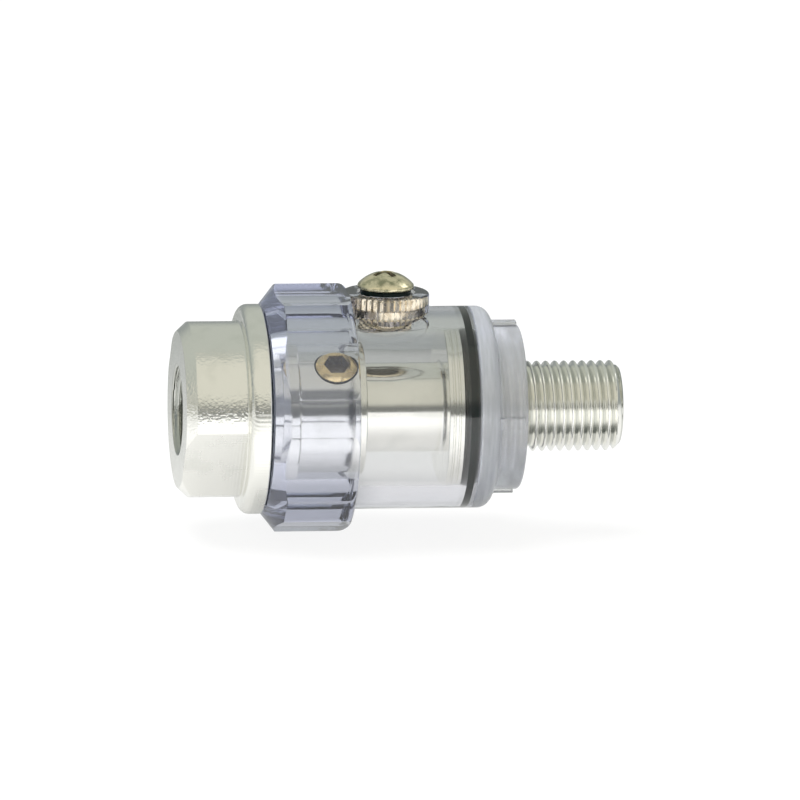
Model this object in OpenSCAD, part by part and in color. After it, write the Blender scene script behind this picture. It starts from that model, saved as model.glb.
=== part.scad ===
// Mini in-line oiler for an air hose. The air runs along +X, from the wrench end to the male thread.
// The origin is the centre of the inlet face, and the filler boss points up, along +Z.

/* [Inlet end] */
// Radius of the round inlet end
inlet_end_r = 12.78; // [12.2:0.02:13.4]
// Length of the inlet end along the axis
inlet_end_len = 8.9; // [7:0.1:12]
// Width across the two wrench flats
wrench_af = 22; // [20:0.5:24]
// Turn of the wrench flats from the filler boss, towards the front
wrench_turn = 125; // [0:1:179]
// Radius of the inlet face inside its chamfer
inlet_face_r = 11.4; // [10.5:0.1:11.8]
// Length of that chamfer along the axis
inlet_chamfer_len = 1.5; // [0.8:0.1:2.5]
// Radius of the tapped inlet port at its thread crests
inlet_r = 5.72; // [5.2:0.02:6.2]
// Depth of the tapped inlet port
inlet_depth = 10; // [8:0.5:12]
// Radius of the countersunk mouth of the inlet port
inlet_mouth_r = 6.4; // [6:0.1:8]

/* [Core] */
// Radius of the flange
flange_r = 15.25; // [14.8:0.05:16]
// Thickness of the flange
flange_w = 3.1; // [2:0.1:5]
// Edge radius of the flange on the inlet side
flange_edge_r = 1.4; // [0.3:0.1:1.8]
// Radius of the guide shoulder, and of the disc, that the bowl slides over
guide_r = 11.4; // [11:0.05:11.8]
// Length of the guide shoulder
guide_len = 4.4; // [2:0.1:5.5]
// Radius of the thick part that holds the metering screw
barrel_r = 9.7; // [9:0.1:10]
// Distance from the flange to the metering screw
metering_offset = 10; // [9:0.1:12]
// Distance from the metering screw to the end of the thick part
barrel_tail = 4.5; // [4:0.1:7]
// Radius of the stem
stem_r = 6.5; // [6:0.1:7]
// Length of the stem
stem_len = 11.7; // [8:0.1:20]
// Edge radius at the end of the thick part
barrel_edge_r = 0.3; // [0.1:0.1:0.8]
// Thickness of the ridged disc
disc_w = 2.3; // [1.8:0.1:4]
// Depth of a groove in the disc
disc_groove_depth = 0.25; // [0.1:0.05:0.5]
// Width of a groove in the disc
disc_groove_w = 0.3; // [0.15:0.05:0.4]
// Number of grooves in the disc
disc_groove_count = 2; // [1:1:3]
// Radius of the seat of the end seal
seal_seat_r = 9.3; // [8.6:0.1:9.8]
// Length of the seat of the end seal
seal_seat_len = 2.7; // [2.3:0.1:4]
// Radius of the air bore between the inlet port and the throat
supply_r = 3; // [2.9:0.1:4]
// Radius of the air bore from the throat to the outlet
air_r = 4.6; // [3:0.1:4.9]
// Radius of the throat of the air bore
throat_r = 2.2; // [1.5:0.1:2.8]
// Length of the throat
throat_len = 6; // [4:0.1:8]

/* [Outlet end] */
// Outside radius of the outlet thread
thread_r = 6.58; // [6:0.01:7]
// Length of the outlet thread
thread_len = 21.5; // [14:0.5:30]
// Chamfer at the end of the outlet thread
thread_chamfer = 1; // [0.5:0.1:1.5]
// Width of the thread relief just past the bowl's hub
relief_w = 0.5; // [0.3:0.1:1]
// Depth of that relief
relief_depth = 0.3; // [0.1:0.05:0.8]

/* [Bowl] */
// Wall of the oil chamber
bowl_wall = 3.2; // [2.6:0.1:4]
// Radius of the grip collar
collar_r = 18.15; // [17.2:0.05:19]
// Length of the grip collar
collar_len = 12.5; // [10:0.1:13.4]
// Length of the cone at the mouth of the collar
collar_cone_len = 2.3; // [1.5:0.1:4]
// Radius at the small end of that cone
collar_mouth_r = 15.25; // [15:0.05:16]
// Edge radius of the collar on the outlet side
collar_edge_r = 1.1; // [0.4:0.1:2]
// Number of grip flats round the collar
flat_count = 7; // [5:1:9]
// Depth of a grip flat below the collar's round
flat_depth = 0.8; // [0.4:0.05:1]
// Turn of the grip flats from the filler boss, towards the front
flat_turn = 5.8; // [0:0.1:51]
// Thickness of the bowl's closed end
end_wall = 2.3; // [1.5:0.1:4]
// Edge radius of the closed end
end_edge_r = 1.9; // [0.8:0.1:2.2]
// Radius of the hub
hub_r = 12.05; // [10:0.05:12.4]
// Length of the hub
hub_len = 4.2; // [3:0.1:10]
// Chamfer of the hub
hub_chamfer = 0.4; // [0.2:0.1:0.8]
// Radius of the raised ring on the hub's end
hub_ring_r = 9; // [8:0.1:11]
// Height of the raised ring on the hub's end
hub_ring_h = 0.3; // [0.1:0.1:1]
// Number of ribs on the hub
rib_count = 4; // [3:1:8]
// Width of a rib
rib_w = 1.75; // [1:0.05:3]
// Height of a rib above the hub
rib_h = 0.7; // [0.3:0.1:1]
// Length of a rib
rib_len = 3.8; // [2:0.1:9]

/* [Filler] */
// Distance from the collar's end to the filler axis
filler_offset = 5.55; // [5:0.05:9]
// Radius of the filler boss
boss_r = 6.35; // [5.2:0.05:7]
// Height of the boss above the oil chamber's outside
boss_rise = 2.5; // [1.8:0.1:5]
// Edge radius of the boss
boss_edge_r = 0.35; // [0.1:0.05:0.8]
// Radius of the recess in the boss, round the filler seal
sink_r = 4.3; // [4:0.1:4.8]
// Depth of that recess
sink_depth = 0.5; // [0.2:0.1:0.8]
// Radius of the brass insert at its knurl
insert_r = 3.9; // [3.6:0.1:4.5]
// Length of the brass insert
insert_len = 4.4; // [3.5:0.1:4.6]
// Length of each knurled band
knurl_len = 1.5; // [0.8:0.1:1.8]
// Depth of the knurl
knurl_depth = 0.25; // [0.1:0.05:0.4]
// Number of knurl teeth
knurl_count = 36; // [20:1:48]
// Radius of the filler screw's thread
filler_thread_r = 2.5; // [2:0.05:2.8]
// Radius of the filler screw's head
filler_head_r = 4.1; // [3.6:0.1:5]
// Height of the rim under the dome of that head
filler_rim_h = 0.5; // [0.3:0.1:1]
// Height of the dome
filler_dome_h = 1.9; // [1.6:0.1:3]
// Width of the cross recess
cross_w = 0.95; // [0.6:0.05:1.4]
// Length of the cross recess
cross_len = 4.6; // [3:0.1:5]
// Depth of the cross recess
cross_depth = 1.5; // [0.8:0.1:2]
// Turn of the cross recess
cross_turn = 28; // [0:1:89]
// Gap between the filler screw's tip and the chamber's inner wall
filler_tip_gap = 0.4; // [0.2:0.1:0.8]
// Thickness of the filler seal
filler_seal_t = 1.1; // [0.6:0.1:1.5]
// Outside radius of the filler seal
filler_seal_r = 3.7; // [3.2:0.1:4]

/* [Metering screw] */
// Turn of the metering screw from the filler boss, towards the front
metering_turn = 44; // [0:1:90]
// Radius of the metering screw's head
metering_head_r = 3.15; // [2.9:0.05:3.3]
// Height of the head's face above the thick part
metering_rise = 0.5; // [0.2:0.1:0.6]
// Thickness of the head
metering_head_h = 0.8; // [0.5:0.1:1]
// Edge radius of the head
metering_edge_r = 0.35; // [0.1:0.05:0.45]
// Width across flats of the hexagon socket
socket_af = 3; // [2:0.1:3.6]
// Depth of the hexagon socket
socket_depth = 1.7; // [1:0.1:2.2]
// Radius of the piston that carries the seal
piston_r = 2.85; // [2.7:0.05:2.95]
// Length of the piston
piston_len = 1.7; // [1.5:0.05:1.9]
// Radius of the metering screw's thread
metering_thread_r = 2; // [1.6:0.1:2.2]
// Length of the metering screw's thread
metering_thread_len = 1.3; // [1:0.1:1.5]
// Radius of the needle
needle_r = 1.1; // [0.8:0.1:1.3]
// Radius of the needle's blunt tip
needle_tip_r = 0.35; // [0.2:0.05:0.6]
// Length of the needle
needle_len = 1.2; // [0.8:0.1:1.4]
// How far the screw can be turned in from its set place
metering_in = 0.35; // [0.2:0.05:0.5]
// Radius of the oil drillings
drill_r = 0.5; // [0.3:0.05:0.7]

/* [Seals and clearances] */
// Thickness of the collar seal
collar_seal_t = 0.9; // [0.6:0.1:1.6]
// Outside radius of the collar seal
collar_seal_r = 14.4; // [13.5:0.1:14.6]
// Section of the end seal's O-ring
end_seal_d = 2.15; // [1.8:0.05:2.4]
// Section of the O-ring on the metering screw
metering_seal_d = 0.8; // [0.6:0.05:0.9]
// Clearance between the bowl and what it slides over
slide_gap = 0.1; // [0.05:0.01:0.2]
// Clearance of each thread and sliding seal
thread_gap = 0.05; // [0.03:0.01:0.1]
// Gap between the bowl's lip and the flange
lip_gap = 0.15; // [0.05:0.05:0.5]

/* [Hidden] */
$fn = 64;
eps = 0.01;

// Places along the axis
flange_x = inlet_end_len;
seal_x = flange_x + flange_w;
lip_x = seal_x + lip_gap;
rebate_x = seal_x + collar_seal_t;
metering_x = seal_x + metering_offset;
barrel_x = metering_x + barrel_tail;
disc_x = barrel_x + stem_len;
seat_x = disc_x + disc_w;
thread_x = seat_x + seal_seat_len;
core_end_x = thread_x + thread_len;
throat_x = metering_x - throat_len / 2;
drill_d = 2 * drill_r;
pressure_port_x = seal_x + guide_len + drill_d;
disc_groove_step = disc_w / (disc_groove_count + 1);
floor_x = thread_x + slide_gap;
bowl_end_x = floor_x + end_wall;
hub_x = bowl_end_x + hub_len;
relief_x = hub_x + hub_ring_h;
collar_x = lip_x + collar_len;
filler_x = collar_x + filler_offset;

// Radii round the axis
bore_r = max(guide_r + slide_gap, seal_seat_r + end_seal_d + thread_gap);
bowl_r = bore_r + bowl_wall;
hub_bore_r = thread_r + thread_gap;
rebate_r = collar_seal_r + slide_gap;

// Heights along the filler axis
boss_z = bowl_r + boss_rise;
insert_top = boss_z - sink_depth;
insert_z = insert_top - insert_len;
head_z = insert_top + filler_seal_t;
tip_z = bore_r + filler_tip_gap;
insert_bore_r = filler_thread_r + thread_gap;
insert_core_r = insert_r - 2 * knurl_depth;

// Heights along the metering axis, from the centre line
metering_face = barrel_r + metering_rise;
piston_top = metering_face - metering_head_h;
piston_bottom = piston_top - piston_len;
shank_bottom = piston_bottom - metering_thread_len;
needle_bottom = shank_bottom - needle_len;
pocket_r = piston_r + metering_seal_d / 2;
pocket_floor = piston_bottom - metering_in - slide_gap;
seat_z = shank_bottom - metering_in - slide_gap;
groove_z = (piston_top + piston_bottom) / 2;
groove_r = pocket_r - 2 * thread_gap - metering_seal_d;

// Helpers for turned pieces: a profile has the radius along X and the axis along Y
module on_air_axis() {
    rotate([0, 90, 0])
        rotate_extrude()
            children();
}

module on_filler_axis() {
    translate([filler_x, 0, 0])
        children();
}

module on_metering_axis() {
    translate([metering_x, 0, 0])
        rotate([metering_turn, 0, 0])
            children();
}

// A rectangular piece of a profile, from the axis to radius r
module step(r, from, to) {
    translate([0, from])
        square([r, to - from]);
}

// What a round edge takes off a profile's outer corner; side is 1 for the far end and -1 for the near end
module edge_cut(r, at, edge, side) {
    translate([r - edge, at - side * edge])
        mirror([0, side < 0 ? 1 : 0])
            difference() {
                square(edge + eps);
                circle(edge);
            }
}

// A ring of round section
module o_ring(inner_r, section_d) {
    rotate_extrude()
        translate([inner_r + section_d / 2, 0])
            circle(d = section_d);
}

// The round inlet end with its chamfered face and two wrench flats
module inlet_end() {
    difference() {
        on_air_axis()
            polygon([[0, 0], [inlet_face_r, 0], [inlet_end_r, inlet_chamfer_len], [inlet_end_r, flange_x + eps],
                [0, flange_x + eps]]);
        for (side = [0, 180])
            rotate([wrench_turn + side, 0, 0])
                translate([-eps, -inlet_end_r, wrench_af / 2])
                    cube([inlet_end_len + eps, 2 * inlet_end_r, inlet_end_r]);
    }
}

// Everything of the core that is turned round the air axis
module turned_core() {
    on_air_axis() {
        difference() {
            step(flange_r, flange_x, seal_x);
            edge_cut(flange_r, flange_x, flange_edge_r, -1);
        }
        step(guide_r, seal_x - eps, seal_x + guide_len);
        difference() {
            step(barrel_r, seal_x, barrel_x);
            edge_cut(barrel_r, barrel_x, barrel_edge_r, 1);
        }
        step(stem_r, barrel_x - eps, disc_x + eps);
        difference() {
            step(guide_r, disc_x, seat_x);
            for (k = [1 : disc_groove_count])
                translate([guide_r - disc_groove_depth, disc_x + k * disc_groove_step - disc_groove_w / 2])
                    square([disc_groove_depth + eps, disc_groove_w]);
        }
        step(seal_seat_r, seat_x - eps, thread_x);
        difference() {
            polygon([[0, thread_x - eps], [thread_r, thread_x - eps], [thread_r, core_end_x - thread_chamfer],
                [thread_r - thread_chamfer, core_end_x], [0, core_end_x]]);
            translate([thread_r - relief_depth, relief_x])
                square([relief_depth + eps, relief_w]);
        }
    }
}

// The air way: tapped port, air bore, throat and air bore again, with drill cones between them
module air_way() {
    mouth = inlet_mouth_r - inlet_r;
    port_cone = inlet_r - supply_r;
    throat_in = supply_r - throat_r;
    throat_out = air_r - throat_r;
    throat_end_x = throat_x + throat_len;
    on_air_axis()
        polygon([[0, -eps], [inlet_mouth_r + eps, -eps], [inlet_r, mouth], [inlet_r, inlet_depth],
            [supply_r, inlet_depth + port_cone], [supply_r, throat_x - throat_in], [throat_r, throat_x],
            [throat_r, throat_end_x], [air_r, throat_end_x + throat_out], [air_r, core_end_x + eps],
            [0, core_end_x + eps]]);
}

// The holes for the metering screw and the oil
module oil_way() {
    on_metering_axis() {
        translate([0, 0, pocket_floor])
            cylinder(r = pocket_r, h = metering_face - pocket_floor);
        translate([0, 0, seat_z])
            cylinder(r = metering_thread_r + thread_gap, h = metering_face - seat_z);
        cylinder(r = needle_r + thread_gap, h = metering_face);
        translate([0, 0, pocket_floor + drill_r])
            rotate([0, 90, 0])
                cylinder(r = drill_r, h = barrel_tail + eps);
    }
    translate([pressure_port_x, 0, 0])
        rotate([metering_turn + 180, 0, 0])
            cylinder(r = drill_r, h = barrel_r + eps);
}

module core_body() {
    color("silver")
        difference() {
            union() {
                inlet_end();
                turned_core();
            }
            air_way();
            oil_way();
        }
}

module collar_seal() {
    color([0.1, 0.12, 0.12])
        on_air_axis()
            translate([bore_r, seal_x])
                square([collar_seal_r - bore_r, collar_seal_t]);
}

// The fluted grip: a round collar with a cone at its mouth and flats cut along it
module grip_collar() {
    difference() {
        on_air_axis()
            difference() {
                polygon([[0, lip_x], [collar_mouth_r, lip_x], [collar_r, lip_x + collar_cone_len],
                    [collar_r, collar_x], [0, collar_x]]);
                edge_cut(collar_r, collar_x, collar_edge_r, 1);
            }
        for (k = [0 : flat_count - 1])
            rotate([flat_turn + k * 360 / flat_count, 0, 0])
                translate([lip_x - eps, -collar_r, collar_r - flat_depth])
                    cube([collar_len + 2 * eps, 2 * collar_r, collar_r]);
    }
}

// The oil chamber's outside, its closed end and the hub
module chamber() {
    on_air_axis() {
        difference() {
            step(bowl_r, collar_x - eps, bowl_end_x);
            edge_cut(bowl_r, bowl_end_x, end_edge_r, 1);
        }
        polygon([[0, bowl_end_x - eps], [hub_r, bowl_end_x - eps], [hub_r, hub_x - hub_chamfer],
            [hub_r - hub_chamfer, hub_x], [0, hub_x]]);
        step(hub_ring_r, hub_x - eps, hub_x + hub_ring_h);
    }
    for (k = [0 : rib_count - 1])
        rotate([k * 360 / rib_count, 0, 0])
            translate([bowl_end_x - eps, -rib_w / 2, hub_bore_r + bowl_wall])
                cube([rib_len, rib_w, hub_r + rib_h - hub_bore_r - bowl_wall]);
}

module filler_boss() {
    on_filler_axis()
        rotate_extrude()
            difference() {
                step(boss_r, 0, boss_z);
                edge_cut(boss_r, boss_z, boss_edge_r, 1);
            }
}

module bowl() {
    color([0.75, 0.78, 0.88, 0.45])
        difference() {
            union() {
                grip_collar();
                chamber();
                filler_boss();
            }
            on_air_axis() {
                step(rebate_r, lip_x - eps, rebate_x);
                step(bore_r, lip_x - eps, floor_x);
                step(hub_bore_r, floor_x - eps, hub_x + hub_ring_h + eps);
            }
            on_filler_axis() {
                cylinder(r = insert_bore_r, h = boss_z + eps);
                translate([0, 0, insert_z])
                    cylinder(r = insert_r, h = insert_len + eps);
                translate([0, 0, insert_top])
                    cylinder(r = sink_r, h = sink_depth + eps);
            }
        }
}

module end_seal() {
    color([0.1, 0.12, 0.12])
        translate([(seat_x + thread_x) / 2, 0, 0])
            rotate([0, 90, 0])
                o_ring(seal_seat_r, end_seal_d);
}

// A band of straight knurling
module knurl_band() {
    linear_extrude(knurl_len)
        difference() {
            circle(insert_r);
            for (k = [0 : knurl_count - 1])
                rotate(k * 360 / knurl_count)
                    translate([insert_r, 0])
                        rotate(45)
                            square(knurl_depth * sqrt(2), center = true);
        }
}

module filler_insert() {
    color("goldenrod")
        on_filler_axis()
            difference() {
                union() {
                    translate([0, 0, insert_z])
                        cylinder(r = insert_core_r, h = insert_len);
                    translate([0, 0, insert_z])
                        knurl_band();
                    translate([0, 0, insert_top - knurl_len])
                        knurl_band();
                }
                translate([0, 0, insert_z - eps])
                    cylinder(r = insert_bore_r, h = insert_len + 2 * eps);
            }
}

module filler_screw() {
    dome_r = (pow(filler_head_r, 2) + pow(filler_dome_h, 2)) / (2 * filler_dome_h);
    rim_z = head_z + filler_rim_h;
    top_z = rim_z + filler_dome_h;
    color("darkgoldenrod")
        on_filler_axis()
            difference() {
                rotate_extrude() {
                    step(filler_head_r, head_z, rim_z);
                    step(filler_thread_r, tip_z, head_z + eps);
                    intersection() {
                        step(filler_head_r, rim_z - eps, top_z);
                        translate([0, top_z - dome_r])
                            circle(dome_r);
                    }
                }
                for (k = [0, 90])
                    translate([0, 0, top_z])
                        rotate(cross_turn + k)
                            cube([cross_len, cross_w, 2 * cross_depth], center = true);
            }
}

module filler_seal() {
    color([0.1, 0.12, 0.12])
        on_filler_axis()
            rotate_extrude()
                translate([insert_bore_r, insert_top])
                    square([filler_seal_r - insert_bore_r, filler_seal_t]);
}

module metering_screw() {
    color("gold")
        on_metering_axis()
            difference() {
                rotate_extrude() {
                    difference() {
                        step(metering_head_r, piston_top, metering_face);
                        edge_cut(metering_head_r, metering_face, metering_edge_r, 1);
                    }
                    difference() {
                        step(piston_r, piston_bottom, piston_top + eps);
                        translate([groove_r, groove_z - metering_seal_d / 2 - thread_gap])
                            square([piston_r, metering_seal_d + 2 * thread_gap]);
                    }
                    step(metering_thread_r, shank_bottom, piston_bottom + eps);
                    polygon([[0, needle_bottom], [needle_tip_r, needle_bottom], [needle_r, shank_bottom + eps],
                        [0, shank_bottom + eps]]);
                }
                translate([0, 0, metering_face - socket_depth])
                    cylinder(r = socket_af / 2 / cos(30), h = socket_depth + eps, $fn = 6);
            }
}

module metering_seal() {
    color([0.1, 0.12, 0.12])
        on_metering_axis()
            translate([0, 0, groove_z])
                o_ring(groove_r + thread_gap, metering_seal_d);
}

core_body();
collar_seal();
bowl();
end_seal();
filler_insert();
filler_screw();
filler_seal();
metering_screw();
metering_seal();
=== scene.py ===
import logging
import math
from dataclasses import dataclass
from enum import Enum
from typing import Any, Callable, Mapping, Optional, Sequence, Union

import bmesh
import bpy
import numpy as np
from mathutils import Matrix, Vector


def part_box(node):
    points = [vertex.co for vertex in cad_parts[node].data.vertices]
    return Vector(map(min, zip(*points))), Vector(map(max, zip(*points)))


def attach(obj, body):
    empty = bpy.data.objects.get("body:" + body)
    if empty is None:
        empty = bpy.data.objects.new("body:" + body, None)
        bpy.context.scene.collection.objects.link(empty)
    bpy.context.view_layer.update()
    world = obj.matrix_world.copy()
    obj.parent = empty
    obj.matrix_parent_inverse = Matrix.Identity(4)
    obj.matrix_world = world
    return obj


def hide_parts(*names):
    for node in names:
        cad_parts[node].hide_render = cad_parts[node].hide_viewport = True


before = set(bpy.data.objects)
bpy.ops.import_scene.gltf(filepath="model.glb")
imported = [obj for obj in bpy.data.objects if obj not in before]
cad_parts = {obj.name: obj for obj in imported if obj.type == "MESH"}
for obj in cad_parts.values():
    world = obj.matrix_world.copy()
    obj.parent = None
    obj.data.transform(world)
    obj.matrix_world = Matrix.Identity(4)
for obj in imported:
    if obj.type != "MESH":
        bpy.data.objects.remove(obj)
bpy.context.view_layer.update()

log = logging.getLogger("oiler")

MM = 0.001
TURN = 2 * math.pi

# Size of the blocks that mill flats, in millimetres
CUTTER_FAR = 30.0
CUTTER_WIDE = 40.0

Colour = tuple[float, float, float]
Value = Union["Wire", float, int, Sequence[float]]
Corner = tuple[float, float, float]
Span = tuple[float, float]


class Body(Enum):
    """Names of the CAD bodies that pieces ride on."""

    CORE = "core"
    COLLAR_RING = "collar_ring"
    BOWL = "bowl"
    FILLER_RING = "filler_ring"
    FILLER_SCREW = "filler_screw"
    METERING_SCREW = "metering_screw"


class Slot(Enum):
    """Names of the record's material slots."""

    PLATED = "plated_metal"
    RUBBER = "black_rubber"
    CLEAR = "clear_plastic"
    INSERT = "knurled_brass"
    BRONZED = "bronzed_screw"
    GOLDEN = "golden_brass"


class Wire:
    """A value in a shader, on which Python's own operators work."""

    def __init__(self, graph: "Graph", socket: bpy.types.NodeSocket) -> None:
        """Keeps the graph and the output socket.

        Args:
            graph: The graph that new nodes are added to.
            socket: The output socket that carries the value.
        """
        self.graph = graph
        self.socket = socket

    def __add__(self, other: Value) -> "Wire":
        """Sum."""
        return self.graph.math("ADD", self, other)

    def __radd__(self, other: Value) -> "Wire":
        """Sum with a plain number first."""
        return self.graph.math("ADD", other, self)

    def __sub__(self, other: Value) -> "Wire":
        """Difference."""
        return self.graph.math("SUBTRACT", self, other)

    def __rsub__(self, other: Value) -> "Wire":
        """Difference with a plain number first."""
        return self.graph.math("SUBTRACT", other, self)

    def __mul__(self, other: Value) -> "Wire":
        """Product."""
        return self.graph.math("MULTIPLY", self, other)

    def __rmul__(self, other: Value) -> "Wire":
        """Product with a plain number first."""
        return self.graph.math("MULTIPLY", other, self)

    def __truediv__(self, other: Value) -> "Wire":
        """Quotient."""
        return self.graph.math("DIVIDE", self, other)

    def __rtruediv__(self, other: Value) -> "Wire":
        """Quotient with a plain number first."""
        return self.graph.math("DIVIDE", other, self)

    def __neg__(self) -> "Wire":
        """Negative."""
        return self.graph.math("MULTIPLY", self, -1.0)

    def size(self) -> "Wire":
        """Value without its sign."""
        return self.graph.math("ABSOLUTE", self)

    def wave(self) -> "Wire":
        """Sine of the value in radians."""
        return self.graph.math("SINE", self)

    def part(self, name: str) -> "Wire":
        """One component of a vector, by its letter."""
        return self.graph.wire("ShaderNodeSeparateXYZ", inputs={0: self}, out=name)

    def scaled(self, factors: Sequence[float]) -> "Wire":
        """A vector with each component multiplied."""
        return self.graph.wire(
            "ShaderNodeVectorMath", {"operation": "MULTIPLY"}, {0: self, 1: factors}
        )

    def step(self, low: float, high: float) -> "Wire":
        """Smooth step from 0 at low to 1 at high.

        Args:
            low: Value where the step starts.
            high: Value where the step ends.

        Returns:
            The stepped value.
        """
        return self.graph.wire(
            "ShaderNodeMapRange",
            {"interpolation_type": "SMOOTHSTEP"},
            {"Value": self, "From Min": low, "From Max": high},
        )

    def span(self, low: float, high: float) -> "Wire":
        """Smooth step of a place in metres, between two places in millimetres."""
        return self.step(low * MM, high * MM)


class Graph:
    """A node tree that is written as expressions."""

    def __init__(self, tree: bpy.types.NodeTree) -> None:
        """Empties a node tree and keeps it.

        Args:
            tree: The tree of a material or of the world.
        """
        self.tree = tree
        tree.nodes.clear()

    def feed(self, socket: bpy.types.NodeSocket, value: Value) -> None:
        """Links a wire to a socket, or sets the socket to a constant.

        Args:
            socket: The input socket.
            value: A wire, a number, or the numbers of a colour or vector.
        """
        if isinstance(value, Wire):
            self.tree.links.new(value.socket, socket)
        elif isinstance(value, (int, float)):
            socket.default_value = value
        elif socket.type == "RGBA":
            socket.default_value = (*value[:3], 1.0)
        else:
            socket.default_value = value

    def node(
        self,
        kind: str,
        settings: Optional[Mapping[str, Any]] = None,
        inputs: Optional[Mapping[Union[str, int], Value]] = None,
    ) -> bpy.types.Node:
        """Makes any node: settings first, since they may change its sockets.

        Args:
            kind: The node's type name.
            settings: Attributes of the node.
            inputs: Values or wires by socket name or number.

        Returns:
            The new node.
        """
        made = self.tree.nodes.new(kind)
        for name, value in (settings or {}).items():
            setattr(made, name, value)
        for key, value in (inputs or {}).items():
            self.feed(made.inputs[key], value)
        return made

    def wire(
        self,
        kind: str,
        settings: Optional[Mapping[str, Any]] = None,
        inputs: Optional[Mapping[Union[str, int], Value]] = None,
        out: Union[str, int] = 0,
    ) -> Wire:
        """Makes a node and returns one of its outputs.

        Args:
            kind: The node's type name.
            settings: Attributes of the node.
            inputs: Values or wires by socket name or number.
            out: Name or number of the output.

        Returns:
            The output as a wire.
        """
        return Wire(self, self.node(kind, settings, inputs).outputs[out])

    def math(self, operation: str, *values: Value) -> Wire:
        """One scalar operation.

        Args:
            operation: Name of the operation.
            values: Wires or numbers, in order.

        Returns:
            The result.
        """
        return self.wire(
            "ShaderNodeMath", {"operation": operation}, dict(enumerate(values))
        )

    def blend(self, share: Value, first: Value, second: Value) -> Wire:
        """Mixes two colours.

        Args:
            share: 0 for the first, 1 for the second.
            first: A colour or a wire.
            second: A colour or a wire.

        Returns:
            The mixed colour.
        """
        return self.wire(
            "ShaderNodeMix", {"data_type": "RGBA"}, {0: share, 6: first, 7: second}, out=2
        )

    def place(self) -> Wire:
        """Where on its object a point lies, in metres."""
        return self.wire("ShaderNodeTexCoord", out="Object")

    def noise(self, at: Wire, size: float, detail: float = 2.0) -> Wire:
        """Soft noise around 0.5.

        Args:
            at: Where the point lies, in metres.
            size: Size of a blotch in millimetres.
            detail: Octaves of finer noise.

        Returns:
            The noise.
        """
        return self.wire(
            "ShaderNodeTexNoise",
            inputs={"Vector": at, "Scale": 1 / (size * MM), "Detail": detail},
        )

    def bump(self, height: Value, depth: float, strength: float = 1.0) -> Wire:
        """A normal from a height.

        Args:
            height: Height, mostly from 0 to 1.
            depth: Height of 1 in millimetres.
            strength: Share of the effect.

        Returns:
            The bumped normal.
        """
        return self.wire(
            "ShaderNodeBump",
            inputs={"Height": height, "Distance": depth * MM, "Strength": strength},
        )

    def vector(self, operation: str, first: Value, second: Value, out: str = "Vector") -> Wire:
        """One vector operation.

        Args:
            operation: Name of the operation.
            first: A vector or a wire.
            second: A vector or a wire.
            out: Name of the output, Value for a scalar result.

        Returns:
            The result.
        """
        return self.wire(
            "ShaderNodeVectorMath", {"operation": operation}, {0: first, 1: second}, out
        )

    def principled(self, inputs: Mapping[Union[str, int], Value]) -> Wire:
        """A Principled shader from values or wires by socket name."""
        return self.wire("ShaderNodeBsdfPrincipled", inputs=inputs)

    def end(self, surface: Wire, volume: Optional[Wire] = None) -> None:
        """Ends a material.

        Args:
            surface: The shader of the surface.
            volume: The shader of the inside, if any.
        """
        ports = {"Surface": surface}
        if volume is not None:
            ports["Volume"] = volume
        self.node("ShaderNodeOutputMaterial", inputs=ports)

    def away(self, at: Wire) -> Wire:
        """Distance of a point from the air axis, in metres."""
        across = at.scaled((0.0, 1.0, 1.0))
        return self.vector("LENGTH", across, across, "Value")

    def glow(self, colour: Value) -> Wire:
        """An even light of one colour."""
        return self.wire("ShaderNodeEmission", inputs={"Color": colour, "Strength": 1.0})

    def mix(self, share: Value, first: Wire, second: Wire) -> Wire:
        """Mixes two shaders.

        Args:
            share: 0 for the first, 1 for the second.
            first: A shader.
            second: A shader.

        Returns:
            The mixed shader.
        """
        return self.wire("ShaderNodeMixShader", inputs={0: share, 1: first, 2: second})


@dataclass(frozen=True)
class Axis:
    """A line that pieces are turned about, with a direction where angles start."""

    origin: Vector
    along: Vector
    across: Vector

    def points(self, reach: Any, radius: Any, turns: np.ndarray) -> np.ndarray:
        """Points of a ring.

        Args:
            reach: Distance along the axis in millimetres, one or one per angle.
            radius: Distance from the axis in millimetres, one or one per angle.
            turns: Angles in radians.

        Returns:
            Points in metres, one row each.
        """
        side = np.array(self.across)
        other = np.array(self.along.cross(self.across))
        reach = np.broadcast_to(np.asarray(reach, float), turns.shape)
        radius = np.broadcast_to(np.asarray(radius, float), turns.shape)
        return MM * (
            np.array(self.origin)
            + reach[:, None] * np.array(self.along)
            + (radius * np.cos(turns))[:, None] * side
            + (radius * np.sin(turns))[:, None] * other
        )


# Places of the two cross axes in millimetres, and turns from the filler boss towards the front in degrees
FILLER_X = 30.2
METERING_X = 22.0
METERING_TURN = 44.0
WRENCH_TURN = 125.0


def facing(turn: float) -> Vector:
    """The way out from the air axis at a turn from the filler boss, in degrees."""
    return Vector((0, -math.sin(math.radians(turn)), math.cos(math.radians(turn))))


AIR = Axis(Vector((0, 0, 0)), Vector((1, 0, 0)), Vector((0, 0, 1)))
FILLER = Axis(Vector((FILLER_X, 0, 0)), Vector((0, 0, 1)), Vector((1, 0, 0)))
METERING = Axis(Vector((METERING_X, 0, 0)), facing(METERING_TURN), Vector((1, 0, 0)))


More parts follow.
